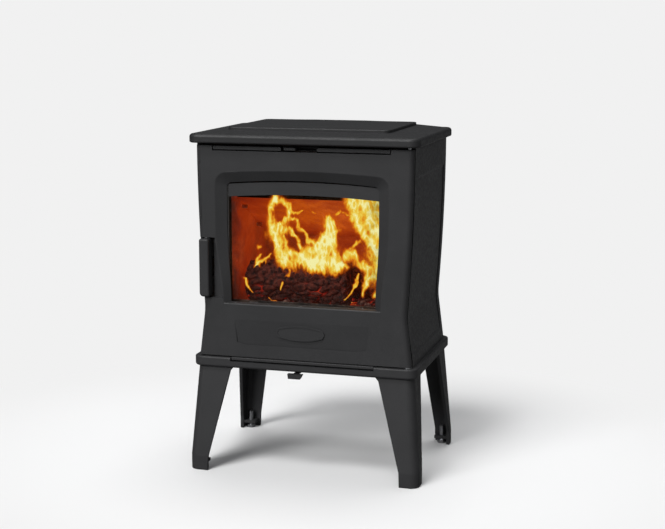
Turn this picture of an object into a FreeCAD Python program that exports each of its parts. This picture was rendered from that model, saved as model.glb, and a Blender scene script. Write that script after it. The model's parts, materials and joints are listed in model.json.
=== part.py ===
import FreeCAD, Part
import Sketcher
import math
import os

# Free-standing cast-iron stove.  Millimetres; +Z up; the front faces -Y; the origin is on the floor under
# the middle of the base plate.

doc = FreeCAD.newDocument("Stove")

SIZES = {
    # body outline, as half widths at four heights: it narrows to a waist and flares to the base
    "body_top": 672.0,
    "body_foot": 238.5,
    "half_top": 223.5,
    "waist_top": 350.0,
    "half_waist_top": 211.45,
    "waist_low": 323.4,
    "half_waist_low": 212.2,
    "half_foot": 223.0,
    "belly_radius": 4300.0,
    "waist_radius": 130.0,
    "wall": 8.0,
    "side_front": -145.0,
    "side_rear": 142.0,
    "rear_face": 150.0,
    # recessed field on each side casting
    "field_depth": 2.0,
    "field_low": 260.0,
    "field_high": 614.0,
    "field_front": -124.0,
    "field_rear": 127.0,
    "field_slope": 6.0,
    "half_field_low": 220.3,
    "half_field_high": 223.1,
    # base plate
    "base_half": 232.8,
    "base_reach": 164.75,
    "base_under": 217.7,
    "base_corner": 20.0,
    "base_edge": 5.0,
    "deck": 6.0,
    "skirt": 7.0,
    "front_wall": 24.75,
    "pad_square": 52.0,
    # loose lip let into the front of the base plate
    "ash_lip_left": -152.0,
    "ash_lip_right": 147.0,
    "ash_lip_rear": -144.0,
    "ash_lip_drop": 7.5,
    "ash_lip_high": 239.5,
    # fastener radii
    "leg_bolt": 5.0,
    "level_screw": 5.0,
    "rear_bolt": 3.0,
    "tie_rod": 4.0,
    "tie_seat": 14.5,
    # top plate and its lift-off cover
    "top_half": 235.6,
    "top_front": -172.0,
    "top_rear": 158.0,
    "top_rim": 690.0,
    "top_table": 696.0,
    "top_corner": 20.0,
    "top_edge": 6.5,
    "top_under_edge": 3.5,
    "top_hollow": 10.0,
    "cover_half": 167.4,
    "cover_front": -127.0,
    "cover_rear": 119.0,
    "cover_thick": 5.9,
    "cover_corner": 14.0,
    "cover_bulge": 8.0,
    # legs: widths of the two flanges at the top and at the foot
    "leg_inset": 7.2,
    "leg_splay": 15.0,
    "leg_wall": 7.0,
    "leg_corner": 17.0,
    "leg_knee": 30.0,
    "front_leg_wide": 71.0,
    "front_leg_wide_foot": 40.0,
    "front_leg_deep": 65.0,
    "front_leg_deep_foot": 37.0,
    "rear_leg_wide": 52.0,
    "rear_leg_wide_foot": 38.0,
    "rear_leg_deep": 69.0,
    "rear_leg_deep_foot": 35.0,
    # door casting
    "half_door_low": 222.7,
    "half_door_high": 223.5,
    "door_gap": 1.2,
    "door_face": -158.0,
    "door_back": -146.0,
    "door_low": 241.0,
    "door_high": 667.0,
    "door_corner": 10.0,
    "door_back_corner": 1.7,
    "door_shift": -4.0,
    "rail_notch": 657.0,
    "rail_left": -187.0,
    "rail_right": 178.0,
    # window: outer lip and glass opening, with the bevel between
    "lip_half": 178.5,
    "lip_half_mid": 170.0,
    "lip_half_low": 163.0,
    "lip_low": 350.0,
    "lip_mid": 425.0,
    "lip_hip": 515.0,
    "lip_top": 614.0,
    "lip_low_radius": 405.0,
    "lip_hip_radius": 485.0,
    "lip_corner": 24.0,
    "lip_crown": 2100.0,
    "lip_edge": 3.0,
    "pane_half": 156.5,
    "pane_half_mid": 153.2,
    "pane_half_low": 150.0,
    "pane_low": 352.0,
    "pane_top": 593.5,
    "pane_low_radius": 840.0,
    "pane_hip_radius": 1240.0,
    "pane_corner": 10.0,
    "pane_crown": 1650.0,
    "bevel_depth": 10.0,
    # shallow tilted field below the window
    "panel_left": -144.0,
    "panel_right": 136.0,
    "panel_low": 261.5,
    "panel_high": 330.0,
    "panel_corner": 9.0,
    "panel_plane": -142.1,
    "panel_tilt": 2.862,
    "panel_taper": 66.0,
    # plain oval in that field
    "oval_x": -6.0,
    "oval_z": 296.0,
    "oval_half": 50.0,
    "oval_rise": 15.5,
    "oval_end": 10.0,
    "oval_seat": -156.0,
    "oval_thick": 3.4,
    "oval_rim": 3.2,
    # glass and what holds it
    "strip_half": 157.5,
    "strip_low": 564.6,
    "strip_high": 590.0,
    "strip_arch": 1812.0,
    "strip_thick": 3.0,
    "glass_half": 166.0,
    "glass_low": 343.0,
    "glass_high": 610.0,
    "glass_front": -141.0,
    "glass_thick": 4.0,
    "glass_seal_wide": 8.0,
    # rope seal
    "seal_half": 185.0,
    "seal_low": 250.0,
    "seal_high": 650.0,
    "seal_wide": 10.0,
    "seal_back": -137.8,
    "rib_wide": 3.0,
    "rib_back": -140.0,
    # hinge
    "hinge_x": 212.5,
    "hinge_y": -148.5,
    "pin_radius": 4.0,
    "pin_seat": 15.0,
    "pin_reach": 16.0,
    "bore_depth": 18.0,
    "boss_radius": 6.0,
    "boss_high": 21.0,
    "running_gap": 0.05,
    "swing_gap": 0.5,
    "swing_start": 3.4,
    "swing_low_end": 294.0,
    "swing_low_bulge": 340.0,
    "swing_high_end": 426.0,
    "swing_high_bulge": 800.0,
    "swing_knee": 8.15,
    "swing_knee_height": 495.0,
    "swing_top_bulge": 6500.0,
    # handle
    "handle_left": -215.0,
    "handle_right": -194.0,
    "handle_front": -169.0,
    "handle_back": -147.5,
    "handle_low": 362.0,
    "handle_high": 480.0,
    "handle_axis_x": -204.0,
    "handle_axis_y": -152.5,
    "handle_pin": 3.0,
    "handle_relief": 6.0,
    "grip_cut": -189.5,
    "grip_low": 360.0,
    "grip_high": 482.0,
    "grip_slant_low": -168.0,
    "grip_slant_high": -184.0,
    "grip_depth": 10.0,
    # front frame
    "frame_front": -137.5,
    "frame_back": -129.5,
    "frame_half": 168.0,
    "frame_low": 262.0,
    "frame_high": 622.0,
    "deflector_half": 167.0,
    "deflector_low": 584.0,
    "deflector_high": 634.0,
    "deflector_thick": 2.5,
    # firebox
    "brick": 25.0,
    "fire_half": 162.0,
    "fire_front": -118.0,
    "fire_rear": 97.0,
    "fire_floor": 330.0,
    "floor_plate": 12.0,
    "liner_high": 600.0,
    "baffle_rear": 456.5,
    "baffle_front": 556.0,
    "baffle_reach": -85.0,
    # flue
    "flue_height": 575.0,
    "socket_bore": 75.3,
    "socket_outer": 81.0,
    "socket_stop": 70.0,
    "socket_rear": 172.3,
    "socket_seat": 122.3,
    "socket_front": 117.0,
    "flange_radius": 94.0,
    "flange_face": 151.5,
    "flange_thick": 6.5,
    "collar_ring": 88.0,
    "top_flue_y": 46.0,
    "blank_radius": 78.0,
    "blank_seat": 5.0,
}


class Size:
    """A dimension: its value now and the sheet expression that gives it."""

    def __init__(self, value, text):
        self.value = float(value)
        self.text = text

    def __add__(self, other):
        other = as_size(other)
        return Size(self.value + other.value, f"({self.text} + {other.text})")

    def __sub__(self, other):
        other = as_size(other)
        return Size(self.value - other.value, f"({self.text} - {other.text})")

    def __mul__(self, factor):
        return Size(self.value * factor, f"({self.text} * {factor})")

    def __neg__(self):
        return self * -1

    __radd__ = __add__
    __rmul__ = __mul__

    def __rsub__(self, other):
        return as_size(other) - self


def as_size(value):
    return value if isinstance(value, Size) else Size(value, repr(float(value)))


def make_sheet():
    sheet = doc.addObject("Spreadsheet::Sheet", "Sizes")
    for row, (alias, value) in enumerate(SIZES.items(), start=1):
        sheet.set(f"A{row}", alias)
        sheet.set(f"B{row}", str(value))
        sheet.setAlias(f"B{row}", alias)
    doc.recompute()


def size(alias):
    return Size(SIZES[alias], f"Sizes.{alias}")


# ---------------------------------------------------------------- sketch and feature helpers

ORIGIN_ROLES = {"top": "XY_Plane", "front": "XZ_Plane", "side": "YZ_Plane"}
# which way each plane's normal points along its world axis
NORMAL_SIGN = {"top": 1, "front": -1, "side": 1}


def bind(thing, prop, value):
    """Give a property its size through the sheet."""
    value = as_size(value)
    thing.setExpression(prop, value.text)


class Casting:
    """One PartDesign body, shaped by sketches on its own origin planes."""

    def __init__(self, label):
        self.body = doc.addObject("PartDesign::Body", label + "_body")
        self.body.Label = label
        self.count = 0

    def sketch(self, plane, level, *outlines, shift=0.0, tilt=0.0):
        """A sketch parallel to an origin plane, at a world coordinate, holding closed outlines.  Its own
        origin can be shifted along X, and its plane tilted about X, in degrees."""
        self.count += 1
        drawing = self.body.newObject("Sketcher::SketchObject", f"{self.body.Label}_outline{self.count}")
        for feature in self.body.Origin.OriginFeatures:
            if feature.Role == ORIGIN_ROLES[plane]:
                drawing.AttachmentSupport = [(feature, "")]
        drawing.MapMode = "FlatFace"
        turn = FreeCAD.Rotation(FreeCAD.Vector(1, 0, 0), tilt)
        drawing.AttachmentOffset = FreeCAD.Placement(FreeCAD.Vector(), turn)
        bind(drawing, "AttachmentOffset.Base.x", shift)
        bind(drawing, "AttachmentOffset.Base.z", NORMAL_SIGN[plane] * as_size(level))
        for outline in outlines:
            draw(drawing, outline)
        return drawing

    def grow(self, kind, drawing, length, reverse=False, taper=0.0):
        """Pad or pocket a sketch by a length."""
        self.count += 1
        feature = self.body.newObject(f"PartDesign::{kind}", f"{self.body.Label}_{kind}{self.count}")
        feature.Profile = drawing
        feature.Reversed = reverse
        bind(feature, "Length", length)
        if taper:
            feature.TaperAngle = taper
        doc.recompute()
        return feature

    def pad(self, drawing, length, reverse=False):
        return self.grow("Pad", drawing, length, reverse)

    def pocket(self, drawing, length, reverse=False, taper=0.0):
        before = self.body.Shape.Volume
        feature = self.grow("Pocket", drawing, length, reverse, taper)
        if self.body.Shape.Volume >= before - 0.5:
            raise RuntimeError(f"{feature.Name} cuts nothing")
        return feature

    def loft(self, kind, *drawings):
        """Straight-sided loft through sketches."""
        self.count += 1
        feature = self.body.newObject(f"PartDesign::{kind}Loft", f"{self.body.Label}_loft{self.count}")
        feature.Profile = drawings[0]
        feature.Sections = list(drawings[1:])
        feature.Ruled = True
        doc.recompute()
        return feature

    def groove(self, drawing):
        """Turn a sketch about its own vertical axis and cut it away."""
        self.count += 1
        before = self.body.Shape.Volume
        feature = self.body.newObject("PartDesign::Groove", f"{self.body.Label}_groove{self.count}")
        feature.Profile = drawing
        feature.ReferenceAxis = (drawing, ["V_Axis"])
        feature.Angle = 360.0
        doc.recompute()
        if self.body.Shape.Volume >= before - 0.5:
            raise RuntimeError(f"{feature.Name} cuts nothing")
        return feature

    def soften(self, radius, wanted, kind="Fillet"):
        """Round the edges that the test picks out."""
        base = self.body.Tip
        names = [f"Edge{n}" for n, edge in enumerate(base.Shape.Edges, start=1) if wanted(edge)]
        if not names:
            raise RuntimeError(f"{self.body.Label}: no edges to soften")
        self.count += 1
        feature = self.body.newObject(f"PartDesign::{kind}", f"{self.body.Label}_{kind}{self.count}")
        feature.Base = (base, names)
        bind(feature, "Radius" if kind == "Fillet" else "Size", radius)
        doc.recompute()
        if not feature.isValid():
            raise RuntimeError(f"{feature.Name} failed")
        return feature


def draw(drawing, outline):
    """Add one closed outline.  Each corner is (x, y) or (x, y, radius): the radius is that of the arc to
    the next corner, positive where the arc turns left.  A circle is (x, y, radius) on its own."""
    first = drawing.GeometryCount
    if isinstance(outline, tuple):
        x, y, radius = (as_size(v) for v in outline)
        circle = Part.Circle(FreeCAD.Vector(x.value, y.value, 0), FreeCAD.Vector(0, 0, 1), radius.value)
        drawing.addGeometry(circle, False)
        dimension(drawing, "DistanceX", x, first, 3)
        dimension(drawing, "DistanceY", y, first, 3)
        dimension(drawing, "Radius", radius, first)
        return
    corners = [tuple(as_size(v) for v in corner) for corner in outline]
    ends = []
    for n, corner in enumerate(corners):
        start = FreeCAD.Vector(corner[0].value, corner[1].value, 0)
        follower = corners[(n + 1) % len(corners)]
        finish = FreeCAD.Vector(follower[0].value, follower[1].value, 0)
        if len(corner) == 2:
            drawing.addGeometry(Part.LineSegment(start, finish), False)
            ends.append((1, 2))
        else:
            drawing.addGeometry(short_arc(start, finish, corner[2].value), False)
            ends.append((1, 2) if corner[2].value > 0 else (2, 1))
    for n, (begin, _) in enumerate(ends):
        last = (n - 1) % len(corners)
        joined = Sketcher.Constraint("Coincident", first + last, ends[last][1], first + n, begin)
        drawing.addConstraint(joined)
    for n, corner in enumerate(corners):
        dimension(drawing, "DistanceX", corner[0], first + n, ends[n][0])
        dimension(drawing, "DistanceY", corner[1], first + n, ends[n][0])
        if len(corner) == 3:
            radius = corner[2] if corner[2].value > 0 else -corner[2]
            dimension(drawing, "Radius", radius, first + n)


def dimension(drawing, kind, value, geometry, end=None):
    place = (geometry,) if end is None else (geometry, end)
    index = drawing.addConstraint(Sketcher.Constraint(kind, *place, value.value))
    if "Sizes" in value.text:
        drawing.setExpression(f"Constraints[{index}]", value.text)


def short_arc(start, finish, radius):
    """The arc of under half a turn from start to finish; a positive radius turns left."""
    chord = finish - start
    left = FreeCAD.Vector(-chord.y, chord.x, 0).normalize()
    reach = math.sqrt(max(radius * radius - chord.Length ** 2 / 4, 0.0))
    centre = (start + finish) * 0.5 + left * (reach if radius > 0 else -reach)
    angles = [math.atan2(p.y - centre.y, p.x - centre.x) for p in (start, finish)]
    if radius < 0:
        angles.reverse()
    circle = Part.Circle(centre, FreeCAD.Vector(0, 0, 1), abs(radius))
    return Part.ArcOfCircle(circle, angles[0], angles[1])


def rectangle(x0, x1, y0, y1):
    return [(x0, y0), (x1, y0), (x1, y1), (x0, y1)]


def rounded(x0, x1, y0, y1, radius):
    """A rectangle with round corners, drawn anticlockwise."""
    x0, x1, y0, y1, radius = (as_size(v) for v in (x0, x1, y0, y1, radius))
    return [
        (x0 + radius, y0), (x1 - radius, y0, radius),
        (x1, y0 + radius), (x1, y1 - radius, radius),
        (x1 - radius, y1), (x0 + radius, y1, radius),
        (x0, y1 - radius), (x0, y0 + radius, radius),
    ]


def block(name, low, high):
    """A box between two corners."""
    box = doc.addObject("Part::Box", name)
    low = [as_size(v) for v in low]
    high = [as_size(v) for v in high]
    for prop, a, b in zip(("Length", "Width", "Height"), low, high):
        bind(box, prop, b - a)
    for axis, a in zip("xyz", low):
        bind(box, f"Placement.Base.{axis}", a)
    return box


TURNS = {
    "z": FreeCAD.Rotation(),
    "y": FreeCAD.Rotation(FreeCAD.Vector(1, 0, 0), -90),
    "x": FreeCAD.Rotation(FreeCAD.Vector(0, 1, 0), 90),
}


def rod(name, start, length, radius, axis="z"):
    """A cylinder from a start point along +X, +Y or +Z."""
    cylinder = doc.addObject("Part::Cylinder", name)
    cylinder.Placement = FreeCAD.Placement(FreeCAD.Vector(), TURNS[axis])
    bind(cylinder, "Radius", radius)
    bind(cylinder, "Height", length)
    for letter, value in zip("xyz", start):
        bind(cylinder, f"Placement.Base.{letter}", value)
    return cylinder


def hexagon(name, start, length, across, axis="z"):
    """A hexagon prism for a bolt head or nut; across is its width across flats."""
    prism = doc.addObject("Part::Prism", name)
    prism.Polygon = 6
    prism.Placement = FreeCAD.Placement(FreeCAD.Vector(), TURNS[axis])
    bind(prism, "Circumradius", as_size(across) * (1 / math.sqrt(3)))
    bind(prism, "Height", length)
    for letter, value in zip("xyz", start):
        bind(prism, f"Placement.Base.{letter}", value)
    return prism


def join(name, parts):
    whole = doc.addObject("Part::MultiFuse", name)
    whole.Shapes = parts
    return whole


def carve(name, base, tool):
    result = doc.addObject("Part::Cut", name)
    result.Base = base
    result.Tool = tool
    return result


def group(name, parts):
    """Separate solids that share one node."""
    whole = doc.addObject("Part::Compound", name)
    whole.Links = parts
    return whole


def finish(thing, label):
    thing.Label = label
    nodes.append(thing)


nodes = []


# ---------------------------------------------------------------- the body's outline

def flank_up(side, inset, low_half, low):
    """Corners of the outline going up one side, moved in by inset, short of its top corner."""
    waist = (size("waist_radius") + inset) * (-1 * side)
    belly = (size("belly_radius") - inset) * side
    return [
        ((as_size(low_half) - inset) * side, low),
        ((size("half_waist_low") - inset) * side, size("waist_low"), waist),
        ((size("half_waist_top") - inset) * side, size("waist_top"), belly),
    ]


def flank_down(side, inset, high_half, high):
    """Corners of the outline going down one side, moved in by inset, short of its foot corner."""
    waist = (size("waist_radius") + inset) * side
    belly = (size("belly_radius") - inset) * (-1 * side)
    return [
        ((as_size(high_half) - inset) * side, high, belly),
        ((size("half_waist_top") - inset) * side, size("waist_top"), waist),
        ((size("half_waist_low") - inset) * side, size("waist_low")),
    ]


def body_outline(inset):
    """The whole front outline of the body, moved in by inset."""
    foot, top = size("half_foot"), size("half_top")
    return (
        [((foot - inset) * -1, size("body_foot"))]
        + flank_up(1, inset, foot, size("body_foot"))
        + [(top - inset, size("body_top"))]
        + flank_down(-1, inset, top, size("body_top"))
    )


def on_plane(axis, level):
    """A test for edges that lie wholly on one world plane."""
    def test(edge):
        box = edge.BoundBox
        ends = {"x": (box.XMin, box.XMax), "y": (box.YMin, box.YMax), "z": (box.ZMin, box.ZMax)}[axis]
        return all(abs(end - level) < 0.01 for end in ends)
    return test


# ---------------------------------------------------------------- castings of the body

TIE_RODS = [(side * 196.0, y) for side in (-1, 1) for y in (-120.0, 127.0)]
REAR_BOLT_X = 197.0
REAR_BOLT_HEIGHTS = (290.0, 455.0, 630.0)
REAR_BOLTS = [(side * REAR_BOLT_X, height) for side in (-1, 1) for height in REAR_BOLT_HEIGHTS]
COLLAR_BOLTS = [
    (SIZES["collar_ring"] * math.cos(angle), SIZES["flue_height"] + SIZES["collar_ring"] * math.sin(angle))
    for angle in (math.radians(45 + 90 * n) for n in range(4))
]
AIR_SLOTS = (-126.0, -42.0, 42.0, 126.0)
AIR_SLOT_HALF = 18.0
AIR_SLOT_LOW, AIR_SLOT_HIGH = 652.5, 658.0
SLIDE_TRAVEL_TOP = 42.0


def base_plate():
    casting = Casting("base_plate")
    half, reach = size("base_half"), size("base_reach")
    under, foot = size("base_under"), size("body_foot")
    plan = rounded(-half, half, -reach, reach, size("base_corner"))
    casting.pad(casting.sketch("top", under, plan), foot - under)
    casting.soften(size("base_edge"), on_plane("z", SIZES["base_under"]))
    casting.soften(3.0, on_plane("z", SIZES["body_foot"]))
    x, y, y_front = half - size("skirt"), reach - size("skirt"), reach - size("front_wall")
    pad_x, pad_y = half - size("pad_square"), reach - size("pad_square")
    hollow = [
        (-pad_x, -y_front), (pad_x, -y_front), (pad_x, -pad_y), (x, -pad_y), (x, pad_y), (pad_x, pad_y),
        (pad_x, y), (-pad_x, y), (-pad_x, pad_y), (-x, pad_y), (-x, -pad_y), (-pad_x, -pad_y),
    ]
    casting.pocket(casting.sketch("top", under, hollow), foot - under - size("deck"), reverse=True)
    notch = rectangle(size("ash_lip_left"), size("ash_lip_right"), -reach - 5, size("ash_lip_rear"))
    casting.pocket(casting.sketch("top", foot, notch), size("ash_lip_drop"))
    casting.pocket(casting.sketch("top", foot, rectangle(-20, 20, -110, -70)), size("deck"))
    rods = [(x, y, size("tie_rod")) for x, y in TIE_RODS]
    casting.pocket(casting.sketch("top", foot, *rods), size("tie_seat"))
    pin = (size("hinge_x"), size("hinge_y"), size("pin_radius"))
    casting.pocket(casting.sketch("top", foot, pin), size("pin_seat"))
    bolts = [(sx * x, sy * y, size("leg_bolt")) for sx in (-1, 1) for sy in (-1, 1) for x, y in LEG_BOLTS]
    casting.pocket(casting.sketch("top", under, *bolts), 14.0, reverse=True)
    finish(casting.body, "base_plate")


def ash_lip():
    casting = Casting("ash_lip")
    left, right, rear = size("ash_lip_left") + 2, size("ash_lip_right") - 1.5, size("ash_lip_rear") - 0.5
    floor, high = size("body_foot") - size("ash_lip_drop"), size("ash_lip_high")
    front = 2.75 - size("base_reach")
    profile = [
        (front, floor + 2.5), (rear - 8, floor + 2.5), (rear - 8, floor),
        (rear, floor), (rear, high), (front, high),
    ]
    casting.pad(casting.sketch("side", left, profile), right - left)
    casting.soften(1.2, lambda e: e.BoundBox.XLength > 100 and e.BoundBox.YMax < -161)
    finish(casting.body, "ash_lip")


def side_casting(label, side):
    casting = Casting(label)
    wall, rear, front = size("wall"), size("side_rear"), size("side_front")
    foot, top = size("half_foot"), size("half_top")
    outline = flank_up(side, 0, foot, size("body_foot"))
    outline += [(top * side, size("body_top"))]
    outline += flank_down(side, wall, top, size("body_top"))
    outline += [((foot - wall) * side, size("body_foot"))]
    casting.pad(casting.sketch("front", rear, outline), rear - front)
    # ledge that carries the hearth plate, and lugs that take the rear panel's bolts
    ledge = rectangle(side * 178.0, side * 206.0, 306.0, 318.0)
    casting.pad(casting.sketch("front", 112.0, ledge), 212.0)
    for height, inner in zip(REAR_BOLT_HEIGHTS, (212.0, 212.0, 217.0)):
        lug = rectangle(side * 189.0, side * inner, height - 10.0, height + 10.0)
        casting.pad(casting.sketch("front", rear, lug), 10.0)
    holes = [(side * REAR_BOLT_X, height, size("rear_bolt")) for height in REAR_BOLT_HEIGHTS]
    casting.pocket(casting.sketch("front", rear, *holes), 10.0, reverse=True)
    # shallow recessed field on the outside
    depth, slope = size("field_depth"), size("field_slope")
    low, high = size("field_low"), size("field_high")
    low_half, high_half = size("half_field_low"), size("half_field_high")
    band = [((low_half + depth) * side, low - slope), ((high_half + depth) * side, high + slope)]
    band += flank_down(side, depth, high_half, high - slope)
    band += [((low_half - depth) * side, low + slope)]
    field = casting.sketch("front", size("field_front"), band)
    casting.pocket(field, size("field_rear") - size("field_front"))
    if side > 0:
        clear_door_swing(casting)
    finish(casting.body, label)


def clear_door_swing(casting):
    """Hollow the front edge where the door's rounded hinge edge swings past it."""
    reach = size("swing_gap") - size("door_gap") - size("hinge_x")
    foot, low_end = size("body_foot"), size("swing_low_end")
    top, high_end = size("body_top"), size("swing_high_end")
    start, knee = size("swing_start"), (size("swing_knee"), size("swing_knee_height"))
    lower = [
        (0, foot),
        (size("half_foot") + reach, foot, size("swing_low_bulge")),
        (start, low_end),
        (0, low_end),
    ]
    upper = [
        (0, high_end),
        (start, high_end, size("swing_high_bulge")),
        (*knee, size("swing_top_bulge")),
        (size("half_top") + reach, top),
        (0, top),
    ]
    for region in (lower, upper):
        casting.groove(casting.sketch("front", size("hinge_y"), region, shift=size("hinge_x")))


def rear_panel():
    casting = Casting("rear_panel")
    face, back = size("side_rear"), size("rear_face")
    casting.pad(casting.sketch("front", back, body_outline(0)), back - face)
    casting.soften(5.0, lambda e: on_plane("y", SIZES["rear_face"])(e) and e.BoundBox.XLength < 25)
    flue = (0, size("flue_height"), size("socket_outer"))
    bolts = [(x, z, size("rear_bolt")) for x, z in REAR_BOLTS + COLLAR_BOLTS]
    casting.pocket(casting.sketch("front", back, flue, *bolts), back - face, reverse=True)
    finish(casting.body, "rear_panel")


def front_frame():
    casting = Casting("front_frame")
    back, front = size("frame_back"), size("frame_front")
    half = size("frame_half")
    opening = rounded(-half, half, size("frame_low"), size("frame_high"), 14.0)
    casting.pad(casting.sketch("front", back, body_outline(size("wall")), opening), back - front)
    slots = [rectangle(-33.5, 22.5, 660.5, 665.5), rectangle(-204.5, -182.0, 400.0, 440.0)]
    slots += [rectangle(x - AIR_SLOT_HALF, x + AIR_SLOT_HALF, AIR_SLOT_LOW, AIR_SLOT_HIGH) for x in AIR_SLOTS]
    casting.pocket(casting.sketch("front", front, *slots), back - front)
    finish(casting.body, "front_frame")


def airwash_deflector():
    casting = Casting("airwash_deflector")
    half, low, high = size("deflector_half"), size("deflector_low"), size("deflector_high")
    rear = size("frame_back") + size("deflector_thick")
    casting.pad(casting.sketch("front", rear, rectangle(-half, half, low, high)), size("deflector_thick"))
    finish(casting.body, "airwash_deflector")


def top_plate():
    casting = Casting("top_plate")
    half, front, rear = size("top_half"), size("top_front"), size("top_rear")
    under, rim, table = size("body_top"), size("top_rim"), size("top_table")
    edge = size("top_edge")
    plan = rounded(-half, half, front, rear, size("top_corner"))
    casting.pad(casting.sketch("top", under, plan), rim - under)
    casting.soften(size("top_under_edge"), on_plane("z", SIZES["body_top"]))
    casting.soften(edge, on_plane("z", SIZES["top_rim"]))
    inset, cover = edge + 3, size("cover_half") + 3
    casting.loft(
        "Additive",
        casting.sketch("top", rim, rounded(inset - half, half - inset, front + inset, rear - inset, 14)),
        casting.sketch(
            "top", table, rounded(-cover, cover, size("cover_front") - 3, size("cover_rear") + 11, 14)))
    hollow = rounded(-180, 180, -112, 112, 10)
    casting.pocket(casting.sketch("top", under, hollow), size("top_hollow"), reverse=True)
    flue_y, blank = size("top_flue_y"), size("blank_radius")
    casting.pocket(casting.sketch("top", table, (0, flue_y, blank + 0.5)), size("blank_seat"))
    casting.pocket(casting.sketch("top", table, (0, flue_y, blank - 6)), 24.0)
    pin = (size("hinge_x"), size("hinge_y"), size("pin_radius"))
    casting.pocket(casting.sketch("top", under, pin), size("pin_seat"), reverse=True)
    rods = [(x, y, size("tie_rod")) for x, y in TIE_RODS]
    casting.pocket(casting.sketch("top", under, *rods), 12.0, reverse=True)
    finish(casting.body, "top_plate")


def top_cover():
    casting = Casting("top_cover")
    half, front, rear = size("cover_half"), size("cover_front"), size("cover_rear")
    corner, bulge = size("cover_corner"), size("cover_bulge")
    wave_out, wave_in, bend = 112.0, 56.0, 200.0
    outline = [
        (-half + corner, front), (half - corner, front, corner),
        (half, front + corner), (half, rear - corner, corner),
        (half - corner, rear), (wave_out, rear, -bend),
        (wave_in, rear + bulge * 0.94), (-wave_in, rear + bulge * 0.94, -bend),
        (-wave_out, rear), (-half + corner, rear, corner),
        (-half, rear - corner), (-half, front + corner, corner),
    ]
    table = size("top_table")
    casting.pad(casting.sketch("top", table, outline), size("cover_thick"))
    casting.soften(2.0, on_plane("z", SIZES["top_table"] + SIZES["cover_thick"]))
    finish(casting.body, "top_cover")


# ---------------------------------------------------------------- legs

LEG_BOLTS = ((193.0, 139.5), (207.5, 125.0))


def leg(label, side, depth_side, wide, deep, wide_foot, deep_foot):
    casting = Casting(label)
    inset, splay, wall, radius = size("leg_inset"), size("leg_splay"), size("leg_wall"), size("leg_corner")
    x_top, y_top = size("base_half") - inset, size("base_reach") - inset
    x_foot, y_foot = x_top + splay, y_top + splay
    under, knee = size("base_under"), size("leg_knee")
    turn = side * depth_side

    def angle_section(x, y, across, along):
        corners = [
            (x, y - along), (x, y - radius, radius), (x - radius, y), (x - across, y),
            (x - across, y - wall), (x - radius, y - wall, (radius - wall) * -1),
            (x - wall, y - radius), (x - wall, y - along),
        ]
        placed = []
        for corner in corners:
            x_out, y_out = (as_size(v) for v in corner[:2])
            bend = [as_size(corner[2]) * turn] if len(corner) == 3 else []
            placed.append((x_out * side, y_out * depth_side, *bend))
        return placed

    flare = 6.0
    casting.loft(
        "Additive",
        casting.sketch("top", under, angle_section(x_top, y_top, size(wide) + flare, size(deep) + flare)),
        casting.sketch("top", under - 8, angle_section(x_top + 0.6, y_top + 0.6, size(wide), size(deep))),
        casting.sketch("top", knee, angle_section(x_foot, y_foot, size(wide_foot), size(deep_foot))),
        casting.sketch("top", 0, angle_section(x_foot, y_foot, size(wide_foot) - 1, size(deep_foot) - 1)))
    web_x = ((x_top - 50) * side, (x_top - 6) * side)
    web_y = ((y_top - 50) * depth_side, (y_top - 6) * depth_side)
    top_web = rectangle(*web_x, *web_y)
    casting.pad(casting.sketch("top", under, top_web), 8.0, reverse=True)
    foot_web = rectangle(
        (x_foot - 34) * side, (x_foot - 6) * side, (y_foot - 32) * depth_side, (y_foot - 6) * depth_side)
    casting.pad(casting.sketch("top", 12.0, foot_web), 6.0)
    bolts = [(side * x, depth_side * y, size("leg_bolt")) for x, y in LEG_BOLTS]
    casting.pocket(casting.sketch("top", under, *bolts), 8.0)
    screw = ((x_foot - 20) * side, (y_foot - 19) * depth_side, size("level_screw"))
    casting.pocket(casting.sketch("top", 18.0, screw), 6.0)
    casting.soften(2.0, lambda e: on_plane("z", 0)(e))
    finish(casting.body, label)


def leg_fasteners():
    bolts = []
    for sx in (-1, 1):
        for sy in (-1, 1):
            for n, (x, y) in enumerate(LEG_BOLTS):
                name = f"leg_bolt_{sx}_{sy}_{n}".replace("-", "m")
                under = size("base_under") - 8
                shank = rod(name + "_shank", (sx * x, sy * y, under - 1), 21.0, size("leg_bolt"))
                head = hexagon(name + "_head", (sx * x, sy * y, under - 6.4), 6.4, 17.0)
                bolts.append(join(name, [shank, head]))
    finish(group("leg_bolts_group", bolts), "leg_bolts")
    screws = []
    x = size("base_half") - size("leg_inset") + size("leg_splay") - 20
    y = size("base_reach") - size("leg_inset") + size("leg_splay") - 19
    for sx in (-1, 1):
        for sy in (-1, 1):
            name = f"level_screw_{sx}_{sy}".replace("-", "m")
            shank = rod(name + "_shank", (x * sx, y * sy, 5.0), 33.0, size("level_screw"))
            head = hexagon(name + "_head", (x * sx, y * sy, 0.3), 6.5, 17.0)
            screws.append(join(name, [shank, head]))
    finish(group("levelling_group", screws), "levelling_screws")


def tie_rods():
    base = size("body_foot") - size("tie_seat")
    rods = [rod(f"tie_rod_{n}", (x, y, base + 0.5), size("body_top") + 11 - base, size("tie_rod"))
            for n, (x, y) in enumerate(TIE_RODS)]
    finish(group("tie_rod_group", rods), "tie_rods")


def rear_bolts():
    bolts = []
    for n, (x, z) in enumerate(REAR_BOLTS):
        shank = rod(f"rear_shank_{n}", (x, size("side_rear") - 9, z), 18.0, size("rear_bolt"), "y")
        head = hexagon(f"rear_head_{n}", (x, size("rear_face"), z), 4.0, 10.0, "y")
        bolts.append(join(f"rear_bolt_{n}", [shank, head]))
    finish(group("rear_bolt_group", bolts), "rear_bolts")


# ---------------------------------------------------------------- door

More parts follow.
